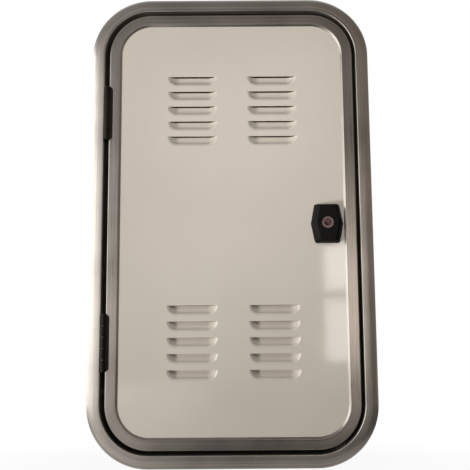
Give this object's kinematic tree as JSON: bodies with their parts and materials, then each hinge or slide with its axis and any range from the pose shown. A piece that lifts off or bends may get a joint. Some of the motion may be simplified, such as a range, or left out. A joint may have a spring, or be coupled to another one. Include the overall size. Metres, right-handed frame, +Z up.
{
  "type": "ventilated gas locker door",
  "caption": "Tall louvred locker door with rounded corners in a flanged aluminium frame, side-hung on two black hinges, with a faceted black key lock.",
  "frame": {"origin": "middle of the frame, on the wall's outer surface, where the flange's foot rests", "axes": "+X to the right, seen from outside, +Y into the wall, +Z up"},
  "size_m": [0.422, 0.0415, 0.707],
  "materials": {
    "satin_aluminium": "satin silver, bent extrusion",
    "satin_door_aluminium": "satin silver-grey, bent extrusion",
    "mill_aluminium": "mill finish",
    "panel_paint": "warm light grey paint, semi-gloss, on aluminium sheet",
    "black_rubber": "matt black",
    "black_plastic": "matt black moulding",
    "lock_plastic": "matt black moulding, fine grain",
    "black_rivet": "blackened",
    "steel": "zinc plated",
    "key_metal": "worn, pinkish grey"
  },
  "bodies": {
    "wall_frame": {"outer_frame": "satin_aluminium", "outer_frame_joiner": "mill_aluminium", "frame_seal": "black_rubber", "upper_hinge_frame_leaf": "black_plastic", "lower_hinge_frame_leaf": "black_plastic", "hinge_frame_rivets": "black_rivet", "upper_hinge_pin": "steel", "lower_hinge_pin": "steel"},
    "door": {"door_frame": "satin_door_aluminium", "door_frame_joiner": "mill_aluminium", "door_panel": "panel_paint", "panel_gasket": "black_rubber", "upper_hinge_door_leaf": "black_plastic", "lower_hinge_door_leaf": "black_plastic", "hinge_door_rivets": "black_rivet", "lock_gasket": "black_rubber", "lock_housing": "lock_plastic", "lock_washer": "steel", "lock_nut": "steel"},
    "lock": {"key_cylinder": "key_metal", "cam": "steel", "cam_washer": "steel", "cam_screw": "steel"}
  },
  "joints": [
    {"name": "door_swing", "type": "hinge", "parent": "wall_frame", "child": "door", "pos_m": [-0.18775, -0.009, 0], "axis": [0, 0, -1], "range_deg": [0, 170]},
    {"name": "key_turn", "type": "hinge", "parent": "door", "child": "lock", "pos_m": [0.1424, 0, 0], "axis": [0, -1, 0], "range_deg": [0, 90]}
  ]
}
